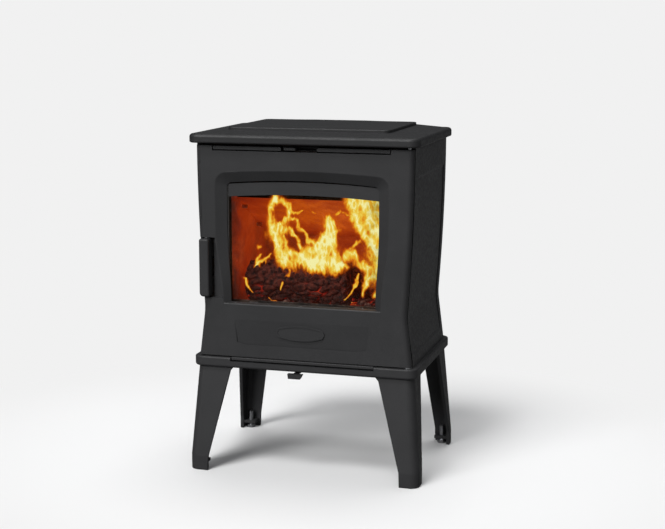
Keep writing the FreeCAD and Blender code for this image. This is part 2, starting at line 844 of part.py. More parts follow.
def window_outline(prefix):
    """The arched window outline that starts with 'lip' at the face or 'pane' at the glass."""
    half, mid, low = size(prefix + "_half"), size(prefix + "_half_mid"), size(prefix + "_half_low")
    bottom, top, corner = size(prefix + "_low"), size(prefix + "_top"), size(prefix + "_corner")
    bend_low, bend_hip = size(prefix + "_low_radius"), size(prefix + "_hip_radius")
    x = size("door_shift")
    waist, hip = size("lip_mid"), size("lip_hip")
    return [
        (x - low, bottom), (x + low, bottom, -bend_low), (x + mid, waist, bend_hip), (x + half, hip),
        (x + half, top - corner, corner), (x + half - corner, top, size(prefix + "_crown")),
        (x - half + corner, top, corner), (x - half, top - corner), (x - half, hip, bend_hip),
        (x - mid, waist, -bend_low),
    ]


def oval_outline(shrink):
    """Four tangent arcs about the oval's centre."""
    half, rise, end = SIZES["oval_half"], SIZES["oval_rise"], SIZES["oval_end"]
    flat = (half ** 2 + rise ** 2 - 2 * half * end) / (2 * (rise - end))
    across = (half - end) / (flat - end)
    up = math.sqrt(1 - across ** 2)
    reach = half - end + (end - shrink) * across
    height = (end - shrink) * up
    x, z = size("oval_x"), size("oval_z")
    return [
        (x + reach, z - height, end - shrink), (x + reach, z + height, flat - shrink),
        (x - reach, z + height, end - shrink), (x - reach, z - height, flat - shrink),
    ]


def ring(half, low, high, wide, corner):
    """Outer and inner outlines of a rounded rectangular ring."""
    return [
        rounded(-half, half, low, high, corner),
        rounded(wide - half, half - wide, low + wide, high - wide, as_size(corner) - wide),
    ]


def on_flank(edge):
    box = edge.BoundBox
    return box.XLength < 25 and box.ZLength > 20 and abs(box.Center.x) > 205


def round_window(edge):
    box = edge.BoundBox
    return box.XMin > -190 and box.XMax < 182 and box.ZMin > 345 and box.ZMax < 625


def door():
    casting = Casting("door")
    face, back, gap = size("door_face"), size("door_back"), size("door_gap")
    low, high = size("door_low"), size("door_high")
    low_half, high_half = size("half_door_low"), size("half_door_high")
    left, right, notch = size("rail_left"), size("rail_right"), size("rail_notch")
    outline = [(gap - low_half, low)] + flank_up(1, gap, low_half, low)
    outline += [(high_half - gap, high), (right, high), (right, notch), (left, notch), (left, high)]
    outline += flank_down(-1, gap, high_half, high)
    casting.pad(casting.sketch("front", back, outline), back - face)
    on_face, on_back = on_plane("y", SIZES["door_face"]), on_plane("y", SIZES["door_back"])
    casting.soften(size("door_corner"), lambda e: on_face(e) and on_flank(e))
    casting.soften(size("door_back_corner"), lambda e: on_back(e) and on_flank(e))
    # window
    depth = size("bevel_depth")
    casting.loft(
        "Subtractive",
        casting.sketch("front", face, window_outline("lip")),
        casting.sketch("front", face + depth, window_outline("pane")))
    casting.soften(size("lip_edge"), lambda e: on_face(e) and round_window(e))
    casting.pocket(casting.sketch("front", back, window_outline("pane")), back - face, reverse=True)
    # tilted field below the window and the oval's seat in it
    sides = (size("panel_left"), size("panel_right"), size("panel_low"), size("panel_high"))
    field = rounded(*sides, size("panel_corner"))
    tilted = casting.sketch("front", size("panel_plane"), field, tilt=SIZES["panel_tilt"])
    casting.pocket(tilted, 5.0, reverse=True, taper=-SIZES["panel_taper"])
    seat = size("oval_seat")
    casting.pocket(casting.sketch("front", seat, oval_outline(0)), seat - face, reverse=True)
    # ribs on the back that hold the rope seal
    half, wide, rib = size("seal_half"), size("seal_wide"), size("rib_wide")
    bottom, top, tall = size("seal_low"), size("seal_high"), size("rib_back") - back
    outer = (half + rib, bottom - rib, top + rib)
    inner = (half - wide, bottom + wide, top - wide)
    for ring_half, ring_low, ring_high in (outer, inner):
        outlines = ring(ring_half, ring_low, ring_high, rib, 12.0)
        casting.pad(casting.sketch("front", size("rib_back"), *outlines), tall)
    # hinge bosses and bores
    axis = (size("hinge_x"), size("hinge_y"), size("boss_radius"))
    bore = (size("hinge_x"), size("hinge_y"), size("pin_radius") + size("running_gap"))
    casting.pad(casting.sketch("top", low, axis), size("boss_high"))
    casting.pad(casting.sketch("top", high, axis), size("boss_high"), reverse=True)
    casting.pocket(casting.sketch("top", low, bore), size("bore_depth"), reverse=True)
    casting.pocket(casting.sketch("top", high, bore), size("bore_depth"))
    # grip: cut through at the edge, then a pocket with a slanted side for the fingers
    cut, g_low, g_high = size("grip_cut"), size("grip_low"), size("grip_high")
    casting.pocket(casting.sketch("front", face, rectangle(-230.0, cut, g_low, g_high)), back - face)
    slant_low, slant_high = size("grip_slant_low"), size("grip_slant_high")
    slant = [(cut - 1, g_low), (slant_low, g_low), (slant_high, g_high), (cut - 1, g_high)]
    casting.pocket(casting.sketch("front", face, slant), size("grip_depth"))
    pin = (size("handle_axis_x"), size("handle_axis_y"), size("handle_pin"))
    casting.pocket(casting.sketch("top", g_high, pin), size("bore_depth") - 6, reverse=True)
    casting.pocket(casting.sketch("top", g_low, pin), size("bore_depth") - 6)
    clips = [(x, z, 2.0) for x, z in GLASS_CLIPS]
    casting.pocket(casting.sketch("front", back, *clips), 4.0, reverse=True)
    finish(casting.body, "door")


def door_medallion():
    casting = Casting("door_medallion")
    seat, thick = size("oval_seat"), size("oval_thick")
    casting.pad(casting.sketch("front", seat, oval_outline(0)), thick)
    casting.pocket(casting.sketch("front", seat - thick, oval_outline(SIZES["oval_rim"])), 1.2)
    finish(casting.body, "door_medallion")


def door_seal():
    casting = Casting("door_seal")
    back, rope = size("door_back"), size("seal_back")
    outlines = ring(size("seal_half"), size("seal_low"), size("seal_high"), size("seal_wide"), 12.0)
    casting.pad(casting.sketch("front", rope, *outlines), rope - back)
    finish(casting.body, "door_seal")


# ---------------------------------------------------------------- glass

GLASS_CLIPS = [(x, z) for x in (-110.0, 110.0) for z in (336.0, 617.0)]


def glass_parts():
    half, low, high = size("glass_half"), size("glass_low"), size("glass_high")
    front, thick, back = size("glass_front"), size("glass_thick"), size("door_back")
    glass = Casting("door_glass")
    glass.pad(glass.sketch("front", front + thick, rounded(-half, half, low, high, 6.0)), thick)
    finish(glass.body, "door_glass")
    seal = Casting("glass_seal")
    seal.pad(seal.sketch("front", front, *ring(half, low, high, size("glass_seal_wide"), 12.0)), front - back)
    finish(seal.body, "glass_seal")
    strip = Casting("glass_top_strip")
    reach, bottom, top, arch = (size("strip_" + word) for word in ("half", "low", "high", "arch"))
    outline = [(-reach, bottom, -arch), (reach, bottom), (reach, top, arch), (-reach, top)]
    strip.pad(strip.sketch("front", back + size("strip_thick"), outline), size("strip_thick"))
    finish(strip.body, "glass_top_strip")


def glass_clips():
    clips, screws = [], []
    back, rear = size("door_back"), size("glass_front") + size("glass_thick")
    for n, (x, z) in enumerate(GLASS_CLIPS):
        lower = z < 400
        edge = size("glass_low") if lower else size("glass_high")
        base = sorted([edge, edge + (-14 if lower else 10)], key=lambda v: v.value)
        tongue = sorted([edge + (8 if lower else -8), base[0] if lower else base[1]], key=lambda v: v.value)
        foot = block(f"clip_foot_{n}", (x - 9, back, base[0]), (x + 9, rear, base[1]))
        tip = block(f"clip_tip_{n}", (x - 9, rear, tongue[0]), (x + 9, rear + 1.5, tongue[1]))
        bore = rod(f"clip_bore_{n}", (x, back - 1, z), 14.0, 2.0, "y")
        clips.append(carve(f"clip_{n}", join(f"clip_blank_{n}", [foot, tip]), bore))
        shank = rod(f"clip_shank_{n}", (x, back - 4, z), rear + 2 - back + 4, 2.0, "y")
        head = rod(f"clip_head_{n}", (x, rear + 1.5, z), 2.0, 3.6, "y")
        screws.append(join(f"clip_screw_{n}", [shank, head]))
    finish(group("clip_group", clips), "glass_clips")
    finish(group("clip_screw_group", screws), "glass_screws")


# ---------------------------------------------------------------- hinge and handle

def hinge():
    x, y, radius, reach = size("hinge_x"), size("hinge_y"), size("pin_radius"), size("pin_reach")
    foot, seat = size("body_foot"), size("pin_seat")
    lower = rod("lower_pin", (x, y, foot - seat), size("door_low") + reach - foot + seat, radius)
    finish(lower, "lower_hinge_pin")
    top = size("body_top")
    tip = size("door_high") - reach
    upper = rod("upper_pin", (x, y, tip), top + seat - tip, radius)
    finish(upper, "upper_hinge_pin")
    disc = rod("washer_disc", (x, y, foot), 2.4, 8.0)
    hole = rod("washer_hole", (x, y, foot - 1), 5.0, radius)
    finish(carve("washer", disc, hole), "hinge_washer")


def handle():
    casting = Casting("handle")
    left, right, front, back = (size("handle_" + word) for word in ("left", "right", "front", "back"))
    low, high = size("handle_low"), size("handle_high")
    big, small = 8.0, 4.5
    outline = [
        (left + big, low), (right - small, low, small), (right, low + small), (right, high - small, small),
        (right - small, high), (left + small, high, small), (left, high - small), (left, low + big, big),
    ]
    casting.pad(casting.sketch("front", back, outline), back - front)
    casting.soften(4.0, on_plane("y", SIZES["handle_front"]))
    relief = size("handle_relief")
    corner = [(left - 1, back - relief - 1), (left + relief + 1, back + 1), (left - 1, back + 1)]
    casting.pocket(casting.sketch("top", high, corner), high - low)
    bore = (size("handle_axis_x"), size("handle_axis_y"), size("handle_pin") + size("running_gap"))
    casting.pocket(casting.sketch("top", high, bore), high - low)
    finish(casting.body, "handle")
    back_y = SIZES["handle_back"]
    tongue = block("tongue_block", (-202.0, back_y, 405.0), (-197.0, -126.0, 435.0))
    finish(tongue, "latch_tongue")
    keeper = block("keeper_block", (-206.6, size("frame_back"), 398.0), (-204.6, -120.0, 442.0))
    finish(keeper, "latch_keeper")
    grip_low, grip_high = size("grip_low"), size("grip_high")
    reach = size("bore_depth") - 7
    x, y = size("handle_axis_x"), size("handle_axis_y")
    length = grip_high - grip_low + reach * 2
    pin = rod("handle_pin_rod", (x, y, grip_low - reach), length, size("handle_pin"))
    finish(pin, "handle_pin")


# ---------------------------------------------------------------- air controls

KNOB_LEFT, KNOB_RIGHT = -38.0, -15.0


def airwash_rail():
    casting = Casting("airwash_rail")
    face, rear = -157.5, size("frame_front")
    bar = rectangle(size("rail_left") + 2, size("rail_right") - 2, 659.5, 666.5)
    casting.pad(casting.sketch("front", rear, bar), rear - face)
    casting.pocket(casting.sketch("front", face, rectangle(-44.0, 30.0, 659.0, 667.0)), 16.0)
    casting.pocket(casting.sketch("front", face, rectangle(-33.5, 22.5, 660.5, 665.5)), 20.0)
    finish(casting.body, "airwash_rail")


def top_air_slide():
    knob = block("top_knob", (KNOB_LEFT, -157.0, 660.6), (KNOB_RIGHT, -142.0, 665.8))
    neck = block("top_neck", (-31.5, -143.0, 661.2), (-21.5, -127.0, 664.8))
    plate = block("top_slide_plate", (-200.0, -129.2, 640.0), (130.0, -126.2, 668.0))
    holes = []
    for n, centre in enumerate(AIR_SLOTS):
        x = centre - SLIDE_TRAVEL_TOP
        low, high = (x - AIR_SLOT_HALF, -131.0, AIR_SLOT_LOW), (x + AIR_SLOT_HALF, -124.0, AIR_SLOT_HIGH)
        holes.append(block(f"top_slide_hole_{n}", low, high))
    blank = join("top_slide_blank", [knob, neck, plate])
    finish(carve("top_slide", blank, group("top_slide_holes", holes)), "top_air_slide")
    guides = []
    for name, low, high, lip_low, lip_high in (
        ("low", 634.0, 639.7, 639.7, 643.0), ("high", 668.3, 671.7, 665.2, 668.3)
    ):
        rail = block(f"top_guide_{name}", (-206.0, size("frame_back"), low), (190.0, -124.4, high))
        lip = block(f"top_guide_lip_{name}", (-206.0, -125.9, lip_low), (190.0, -124.4, lip_high))
        guides.append(join(f"top_guide_whole_{name}", [rail, lip]))
    finish(group("top_guide_group", guides), "top_slide_guides")


def bottom_air_slide():
    plate = block("bottom_plate", (-62.0, -137.7, 228.7), (62.0, -60.0, 231.5))
    hole = block("bottom_hole", (-55.0, -108.0, 227.0), (-25.0, -72.0, 233.0))
    leg_drop = block("bottom_drop", (-20.0, -137.7, 211.0), (-10.0, -134.7, 229.0))
    tab = block("bottom_tab", (-20.0, -166.0, 211.0), (-10.0, -134.7, 214.0))
    whole = join("bottom_blank", [carve("bottom_plate_cut", plate, hole), leg_drop, tab, bottom_knob()])
    finish(whole, "bottom_air_slide")
    straps = []
    for n, x in enumerate((-49.0, 71.0)):
        strap = block(f"strap_{n}", (x, -139.8, 226.0), (x + 8, -54.0, 228.3))
        front = block(f"strap_front_{n}", (x, -139.8, 226.0), (x + 8, -138.2, 232.5))
        rear = block(f"strap_rear_{n}", (x, -59.5, 226.0), (x + 8, -54.0, 232.5))
        straps.append(join(f"strap_whole_{n}", [strap, front, rear]))
    finish(group("strap_group", straps), "bottom_slide_guides")


def bottom_knob():
    """Tapered finger piece under the front edge of the base."""
    casting = Casting("bottom_knob_shape")
    outline = [(-30.0, 214.0), (-28.5, 204.5), (-4.0, 204.5), (1.0, 214.0)]
    casting.pad(casting.sketch("front", -158.0, outline), 10.0)
    return casting.body


# ---------------------------------------------------------------- firebox

def liners():
    half, brick = size("fire_half"), size("brick")
    front, rear, floor, high = size("fire_front"), size("fire_rear"), size("fire_floor"), size("liner_high")
    pegs = []
    for side, word in ((-1, "left"), (1, "right")):
        inner, outer = sorted([half * side, (half + brick) * side], key=lambda v: v.value)
        slab = block(f"{word}_slab", (inner, front, floor), (outer, rear, high))
        holes = []
        for n, (y, z) in enumerate(peg_places()):
            start = half - 10 if side > 0 else -half - 9
            holes.append(rod(f"{word}_peg_hole_{n}", (start, y, z), 19.0, 4.0, "x"))
            pegs.append(rod(f"{word}_peg_{n}", (start, y, z), 19.0, 4.0, "x"))
        finish(carve(f"{word}_liner_cut", slab, group(f"{word}_peg_holes", holes)), f"{word}_liner")
    finish(group("peg_group", pegs), "baffle_pegs")
    back = block("rear_slab", (-half - brick, rear, floor), (half + brick, rear + brick, 470.0))
    finish(back, "rear_liner")


def baffle_slope():
    """Unit vector up the baffle's underside, as (y, z)."""
    run = SIZES["baffle_reach"] - SIZES["fire_rear"]
    rise = SIZES["baffle_front"] - SIZES["baffle_rear"]
    length = math.hypot(run, rise)
    return run / length, rise / length


def peg_places():
    run, rise = baffle_slope()
    places = []
    for y in (40.0, -50.0):
        z = SIZES["baffle_rear"] + (y - SIZES["fire_rear"]) * rise / run
        places.append((y - rise * 4.5, z + run * 4.5))
    return places


def baffle():
    casting = Casting("baffle")
    run, rise = baffle_slope()
    thick = 20.0
    rear, low = size("fire_rear") - 0.5, size("baffle_rear")
    front, high = size("baffle_reach"), size("baffle_front")
    outline = [
        (rear, low), (rear, low - thick / run), (front + thick * rise, high - thick * run), (front, high),
    ]
    half = size("fire_half") - 0.5
    casting.pad(casting.sketch("side", -half, outline), half * 2)
    finish(casting.body, "baffle")


def hearth():
    casting = Casting("hearth_plate")
    outer, floor, thick = size("fire_half") + size("brick"), size("fire_floor"), size("floor_plate")
    plan = rounded(-outer, outer, -125.0, 122.0, 4.0)
    casting.pad(casting.sketch("top", floor - thick, plan), thick)
    casting.pocket(casting.sketch("top", floor, rounded(-82, 82, -72, 52, 6.0)), 6.0)
    casting.pocket(casting.sketch("top", floor, rounded(-74, 74, -64, 44, 6.0)), thick)
    finish(casting.body, "hearth_plate")
    grate = Casting("grate")
    slots = [rounded(x - 4, x + 4, -58, 38, 3.9) for x in range(-66, 67, 12)]
    grate.pad(grate.sketch("top", floor - 6, rounded(-81.6, 81.6, -71.6, 51.6, 5.6), *slots), 6.0)
    finish(grate.body, "grate")
    guard = Casting("log_guard")
    guard.pad(guard.sketch("top", floor, rounded(-165, 165, -125, -118.3, 3.0)), 21.0)
    finish(guard.body, "log_guard")


def ash_pan():
    casting = Casting("ash_pan")
    low, high = 264.5, 304.0
    casting.pad(casting.sketch("top", low, rounded(-140, 140, -122, 70, 8.0)), high - low)
    casting.pocket(casting.sketch("top", high, rounded(-138, 138, -120, 68, 6.0)), high - low - 2)
    casting.pad(casting.sketch("top", 282.0, rounded(-25, 25, -134, -121, 5.0)), 4.0)
    finish(casting.body, "ash_pan")
    foot = size("body_foot")
    lefts = (-125.0, 115.0)
    runners = [block(f"runner_{n}", (x, -120.0, foot), (x + 10, 70.0, low)) for n, x in enumerate(lefts)]
    finish(group("runner_group", runners), "pan_runners")


# ---------------------------------------------------------------- flue

def flue_collar():
    z = size("flue_height")
    front, seat, rear = size("socket_front"), size("socket_seat"), size("socket_rear")
    face, thick = size("flange_face"), size("flange_thick")
    tube = rod("collar_tube", (0, front, z), rear - front, size("socket_outer"), "y")
    flange = rod("collar_flange", (0, face, z), thick, size("flange_radius"), "y")
    bore = rod("collar_bore", (0, seat, z), rear - seat + 1, size("socket_bore"), "y")
    stop = rod("collar_stop", (0, front - 1, z), seat - front + 2, size("socket_stop"), "y")
    places = list(enumerate(COLLAR_BOLTS))
    holes = [rod(f"collar_hole_{n}", (x, face - 1, h), thick + 2, 3.0, "y") for n, (x, h) in places]
    blank = join("collar_blank", [tube, flange])
    finish(carve("collar_cut", blank, join("collar_tools", [bore, stop, *holes])), "flue_collar")
    panel = size("rear_face")
    disc = rod("seal_disc", (0, panel, z), face - panel, size("flange_radius"), "y")
    inside = rod("seal_inside", (0, panel - 1, z), 4.0, size("socket_outer"), "y")
    seal_holes = [rod(f"seal_hole_{n}", (x, panel - 1, h), 4.0, 3.0, "y") for n, (x, h) in places]
    finish(carve("seal_cut", disc, join("seal_tools", [inside, *seal_holes])), "flue_seal")
    bolts = []
    for n, (x, h) in enumerate(COLLAR_BOLTS):
        rear = size("side_rear")
        shank = rod(f"collar_shank_{n}", (x, rear, h), face + thick - rear + 1, 3.0, "y")
        head = hexagon(f"collar_head_{n}", (x, face + thick, h), 4.0, 10.0, "y")
        bolts.append(join(f"collar_bolt_{n}", [shank, head]))
    finish(group("collar_bolt_group", bolts), "collar_bolts")


def flue_blank():
    y, table, seat, radius = size("top_flue_y"), size("top_table"), size("blank_seat"), size("blank_radius")
    under = size("body_top") + size("top_hollow")
    disc = rod("blank_round", (0, y, table - seat), seat - 0.1, radius)
    disc_bore = rod("blank_bore", (0, y, table - seat - 1), 4.0, 4.0)
    finish(carve("blank_cut", disc, disc_bore), "blank_disc")
    bar = block("bar_block", (-88, y - 10, under - 6), (88, y + 10, under))
    bar_bore = rod("bar_bore", (0, y, under - 7), 8.0, 4.0)
    finish(carve("bar_cut", bar, bar_bore), "blank_bar")
    shank = rod("blank_shank", (0, y, under - 7), table - seat + 2.8 - under + 7, 4.0)
    head = hexagon("blank_head", (0, y, under - 11.3), 5.3, 13.0)
    finish(join("blank_whole", [shank, head]), "blank_bolt")


# ---------------------------------------------------------------- build and write

make_sheet()
base_plate()
ash_lip()
side_casting("left_side", -1)
side_casting("right_side", 1)
rear_panel()
front_frame()
airwash_deflector()
top_plate()
top_cover()
for pair, depth_side in (("front", -1), ("rear", 1)):
    names = [f"{pair}_leg_{part}" for part in ("wide", "deep", "wide_foot", "deep_foot")]
    leg(f"{pair}_left_leg", -1, depth_side, *names)
    leg(f"{pair}_right_leg", 1, depth_side, *names)
leg_fasteners()
tie_rods()
rear_bolts()
door()
door_medallion()
door_seal()
glass_parts()
glass_clips()
hinge()
handle()
airwash_rail()
top_air_slide()
bottom_air_slide()
liners()
baffle()
hearth()
ash_pan()
flue_collar()
flue_blank()

doc.recompute()
failed = [thing.Label for thing in doc.Objects if {"Invalid", "Error"} & set(thing.State)]
if failed:
    raise RuntimeError(f"failed objects: {failed}")
for node in nodes:
    if node.Shape.isNull() or not node.Shape.isValid() or not node.Shape.Solids:
        raise RuntimeError(f"{node.Label} has no valid shape")
os.makedirs("parts", exist_ok=True)
for node in nodes:
    node.Shape.exportStep(f"parts/{node.Label}.step")
print(f"{len(nodes)} nodes written")
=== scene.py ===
import json
import math

import bpy
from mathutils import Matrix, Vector, noise


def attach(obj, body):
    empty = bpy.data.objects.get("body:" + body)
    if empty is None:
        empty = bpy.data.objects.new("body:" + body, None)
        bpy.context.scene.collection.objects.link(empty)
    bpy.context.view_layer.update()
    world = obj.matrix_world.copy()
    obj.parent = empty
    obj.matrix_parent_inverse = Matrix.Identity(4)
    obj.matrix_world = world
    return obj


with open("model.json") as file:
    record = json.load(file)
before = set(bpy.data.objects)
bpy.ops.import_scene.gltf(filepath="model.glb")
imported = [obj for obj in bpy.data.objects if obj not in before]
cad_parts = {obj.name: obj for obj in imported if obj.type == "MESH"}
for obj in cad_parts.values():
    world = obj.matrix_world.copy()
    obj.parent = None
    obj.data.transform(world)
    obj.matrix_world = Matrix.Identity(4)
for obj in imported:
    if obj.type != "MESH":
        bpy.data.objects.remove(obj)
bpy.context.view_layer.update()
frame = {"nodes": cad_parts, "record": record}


def srgb(red, green, blue):
    """A colour given as 0-255 display values, as linear RGBA."""
    def linear(value):
        value /= 255
        return value / 12.92 if value <= 0.04045 else ((value + 0.055) / 1.055) ** 2.4
    return (linear(red), linear(green), linear(blue), 1.0)


def shade(tone, factor):
    return tuple(channel * factor for channel in tone[:3]) + (1.0,)


# ---------------------------------------------------------------- nodes

class Wire:
    """A node's output, written with in plain maths."""

    def __init__(self, paint, socket):
        self.paint, self.socket = paint, socket

    def maths(self, operation, *values):
        return self.paint.make("ShaderNodeMath", {"operation": operation}, dict(enumerate(values)))

    def __add__(self, other):
        return self.maths("ADD", self, other)

    def __sub__(self, other):
        return self.maths("SUBTRACT", self, other)

    def __rsub__(self, other):
        return self.maths("SUBTRACT", other, self)

    def __mul__(self, other):
        return self.maths("MULTIPLY", self, other)

    def __pow__(self, other):
        return self.maths("POWER", self, other)

    __radd__, __rmul__ = __add__, __mul__

    def absolute(self):
        return self.maths("ABSOLUTE", self)

    def sine(self):
        return self.maths("SINE", self)

    def most(self, other):
        return self.maths("MAXIMUM", self, other)

    def between(self, low, high, to_low=0.0, to_high=1.0):
        """This value mapped smoothly from one range to another and clamped."""
        ends = {0: self, 1: low, 2: high, 3: to_low, 4: to_high}
        return self.paint.make("ShaderNodeMapRange", {"interpolation_type": "SMOOTHSTEP"}, ends)


class Paint:
    """The nodes of one material, or of the world."""

    def __init__(self, owner):
        self.owner = owner
        owner.use_nodes = True
        self.tree = owner.node_tree
        self.tree.nodes.clear()

    def make(self, kind, settings=None, inputs=None, output=0):
        node = self.tree.nodes.new(kind)
        for key, value in (settings or {}).items():
            if key == "stops":
                self.set_stops(node.color_ramp, value)
            else:
                setattr(node, key, value)
        for key, value in (inputs or {}).items():
            if isinstance(value, Wire):
                self.tree.links.new(value.socket, node.inputs[key])
            else:
                node.inputs[key].default_value = value
        return Wire(self, node.outputs[output]) if node.outputs else node

    @staticmethod
    def set_stops(ramp, stops):
        while len(ramp.elements) < len(stops):
            ramp.elements.new(1.0)
        for element, (place, colour) in zip(ramp.elements, stops):
            element.position, element.color = place, colour

    def place(self):
        """Object space: the part's own frame, in metres."""
        return self.make("ShaderNodeTexCoord", output="Object")

    def along(self, axis):
        return self.make("ShaderNodeSeparateXYZ", inputs={0: self.place()}, output="XYZ".index(axis))

    def stretched(self, scale):
        return self.make("ShaderNodeMapping", inputs={"Vector": self.place(), "Scale": scale})

    def noise(self, scale, detail=4.0, rough=0.55, where=None, twist=0.0):
        inputs = {"Vector": where or self.place(), "Scale": scale, "Detail": detail, "Roughness": rough,
                  "Distortion": twist}
        return self.make("ShaderNodeTexNoise", {"noise_dimensions": "3D"}, inputs)

    def cells(self, scale, feature="F1", output="Distance"):
        inputs = {"Vector": self.place(), "Scale": scale}
        return self.make("ShaderNodeTexVoronoi", {"feature": feature}, inputs, output)

    def ramp(self, factor, *stops):
        return self.make("ShaderNodeValToRGB", {"stops": stops}, {0: factor})

    def mix(self, factor, first, second):
        return self.make("ShaderNodeMix", {"data_type": "RGBA"}, {0: factor, 6: first, 7: second}, output=2)

    def bump(self, height, strength, distance, under=None):
        inputs = {"Height": height, "Strength": strength, "Distance": distance}
        if under:
            inputs["Normal"] = under
        return self.make("ShaderNodeBump", inputs=inputs)

    def vector_maths(self, operation, *vectors, output=0):
        return self.make("ShaderNodeVectorMath", {"operation": operation}, dict(enumerate(vectors)), output)

    def normal(self):
        return self.make("ShaderNodeNewGeometry", output="Normal")

    def up_facing(self):
        """How far the surface faces up, from 0 to 1."""
        rise = self.make("ShaderNodeSeparateXYZ", inputs={0: self.normal()}, output=2)
        return rise.between(0.3, 0.9)

    def facing(self, middle):
        """Whether the surface looks towards a point, from 0 to 1."""
        inward = self.vector_maths("NORMALIZE", self.vector_maths("SUBTRACT", middle, self.place()))
        return self.vector_maths("DOT_PRODUCT", inward, self.normal(), output=1).between(0.0, 0.15)

    def trait(self, name, part=0):
        """One number of a named vertex vector."""
        vector = self.make("ShaderNodeAttribute", {"attribute_name": name}, output="Vector")
        return self.make("ShaderNodeSeparateXYZ", inputs={0: vector}, output=part)

    def finish(self, **sockets):
        """The Principled shader, straight to the surface; an underscore in a name stands for a space."""
        inputs = {key.replace("_", " "): value for key, value in sockets.items()}
        shader = self.make("ShaderNodeBsdfPrincipled", inputs=inputs)
        self.make("ShaderNodeOutputMaterial", inputs={"Surface": shader})
        return self.owner


def new_paint(name):
    return Paint(bpy.data.materials.new(name))


# ---------------------------------------------------------------- camera, floor, light

BACKGROUND = srgb(241, 241, 241)
SENSOR_WIDTH = 36.0
FOCAL_LENGTH = SENSOR_WIDTH * 1410.8 / 665
CAMERA_PLACE = (0.8159, -2.7770, 0.9085)
CAMERA_AIM = (0.01597, 0, 0.41087)
FARTHEST_SEEN = 100
FILL_COLOUR = (0.95, 0.97, 1.0, 1.0)
FILL_STRENGTH = 0.24
FILL_MIRRORED = 0.08
FLOOR_REACH = 14.0
FLOOR_TONE = srgb(110, 110, 110)
FLOOR_SEEN = (0.73, 0.73, 0.73, 1.0)
FLOOR_FADE = (0.45, 1.0)
FLOOR_SQUEEZE = 1.15


def add_object(name, data):
    thing = bpy.data.objects.new(name, data)
    bpy.context.scene.collection.objects.link(thing)
    return thing


def aimed(place, aim):
    return (Vector(aim) - Vector(place)).to_track_quat("-Z", "Y").to_euler()


def add_camera():
    data = bpy.data.cameras.new("camera")
    data.sensor_width = SENSOR_WIDTH
    data.lens = FOCAL_LENGTH
    data.clip_end = FARTHEST_SEEN
    camera = add_object("camera", data)
    camera.location = CAMERA_PLACE
    camera.rotation_euler = aimed(CAMERA_PLACE, CAMERA_AIM)
    bpy.context.scene.camera = camera


def add_world():
    """An even backdrop where it is seen, a soft fill as light, and a dim one in reflections."""
    world = bpy.data.worlds.new("studio")
    bpy.context.scene.world = world
    studio = Paint(world)
    seen = studio.make("ShaderNodeLightPath", output="Is Camera Ray").most(
        studio.make("ShaderNodeLightPath", output="Is Transmission Ray"))
    mirrored = studio.make("ShaderNodeLightPath", output="Is Glossy Ray")
    strength = mirrored.between(0.0, 1.0, FILL_STRENGTH, FILL_MIRRORED)
    fill = studio.make("ShaderNodeBackground", inputs={"Color": FILL_COLOUR, "Strength": strength})
    backdrop = studio.make("ShaderNodeBackground", inputs={"Color": BACKGROUND})
    choice = studio.make("ShaderNodeMixShader", inputs={0: seen, 1: fill, 2: backdrop})
    studio.make("ShaderNodeOutputWorld", inputs={"Surface": choice})


def add_lamp(name, kind, place, power, size, colour=(1, 1, 1)):
    """A lamp aimed at the stove's foot; its size is a sun's angle or a point's radius."""
    data = bpy.data.lights.new(name, kind)
    data.energy = power
    data.color = colour
    if kind == "SUN":
        data.angle = size
    else:
        data.shadow_soft_size = size
    lamp = add_object(name, data)
    lamp.location = place
    lamp.rotation_euler = aimed(place, (0, 0, 0))


def add_floor():
    """A pale floor: its shadow shows near the stove and fades into the backdrop further out."""
    corners = [(x * FLOOR_REACH, y * FLOOR_REACH, 0) for x, y in ((-1, -1), (1, -1), (1, 1), (-1, 1))]
    mesh = bpy.data.meshes.new("floor")
    mesh.from_pydata(corners, [], [(0, 1, 2, 3)])
    floor = add_object("floor", mesh)
    paint = new_paint("studio_floor")
    seen = paint.make("ShaderNodeLightPath", output="Is Camera Ray")
    lit = paint.make("ShaderNodeBsdfDiffuse", inputs={"Color": paint.mix(seen, FLOOR_TONE, FLOOR_SEEN)})
    shown = paint.make("ShaderNodeEmission", inputs={"Color": BACKGROUND, "Strength": 1.0})
    far = (paint.along("X") ** 2.0 + (paint.along("Y") * FLOOR_SQUEEZE) ** 2.0) ** 0.5
    surface = paint.make("ShaderNodeMixShader", inputs={0: far.between(*FLOOR_FADE) * seen, 1: lit, 2: shown})
    paint.make("ShaderNodeOutputMaterial", inputs={"Surface": surface})
    mesh.materials.append(paint.owner)


add_camera()
add_world()
add_floor()
add_lamp("key", "SUN", (-1.3, -3.0, 2.0), 2.4, 0.5)
add_lamp("rim", "SUN", (-0.3, -1.5, 3.0), 1.3, 0.25)
add_lamp("overhead", "SUN", (0.1, 0.7, 3.0), 0.9, 0.5)
add_lamp("side", "SUN", (1.6, -2.5, 1.2), 0.4, 0.5)
bpy.context.scene.view_settings.view_transform = "Standard"


# ---------------------------------------------------------------- finishes

ANTHRACITE = srgb(43, 43, 44)
FIRE_MIDDLE = (0.0, -0.12, 0.44)
PLAIT_TURNS = 900.0
SOOT_AT_SIDES = (0.118, 0.162)
SOOT_AT_FOOT = (0.385, 0.348)


